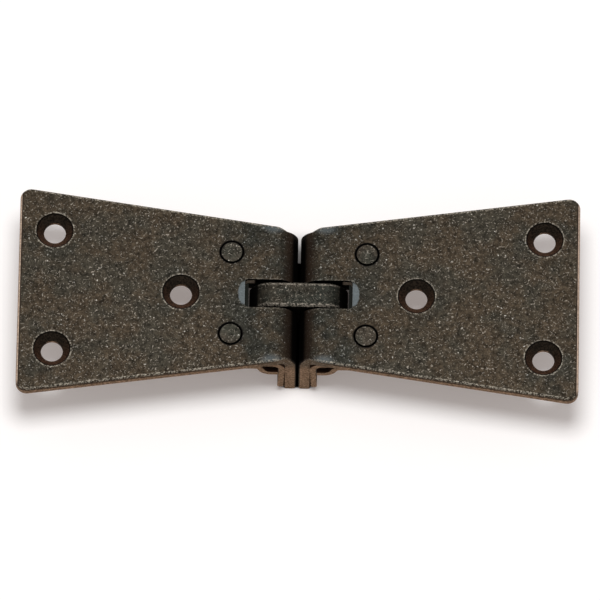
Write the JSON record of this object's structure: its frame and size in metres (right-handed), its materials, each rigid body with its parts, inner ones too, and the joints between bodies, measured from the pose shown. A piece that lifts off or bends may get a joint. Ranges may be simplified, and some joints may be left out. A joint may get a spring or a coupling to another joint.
{
  "type": "counterflap hinge",
  "caption": "Pressed steel counterflap hinge: dovetail leaves on a link that pivots at both ends, so that a bar flap folds right back and lies flat on the counter.",
  "frame": {"origin": "middle of the joint line between the leaves, at the height of the flanges' lower edges", "axes": "+X from the left leaf to the right leaf, +Y from the front edge to the back edge, +Z out of the top faces"},
  "size_m": [0.102, 0.0396, 0.0146],
  "materials": {
    "plate": "antique, tumbled over a dark plating",
    "strap": "antique, tumbled over a dark plating",
    "pin": "dark antique plating",
    "rivet": "antique, tumbled over a dark plating",
    "link": "antique, tumbled over a dark plating, edges worn bright"
  },
  "bodies": {
    "left_leaf": {"left_plate": "plate", "left_strap": "strap", "left_pin": "pin", "left_front_rivet": "rivet", "left_back_rivet": "rivet"},
    "link": {"link": "link"},
    "right_leaf": {"right_plate": "plate", "right_strap": "strap", "right_pin": "pin", "right_front_rivet": "rivet", "right_back_rivet": "rivet"}
  },
  "joints": [
    {"name": "left_pivot", "type": "hinge", "parent": "left_leaf", "child": "link", "pos_m": [-0.00467, 0, 0.01018], "axis": [0, -1, 0], "range_deg": [0, 90]},
    {"name": "right_pivot", "type": "hinge", "parent": "link", "child": "right_leaf", "pos_m": [0.00467, 0, 0.01018], "axis": [0, -1, 0], "range_deg": [0, 90]}
  ]
}
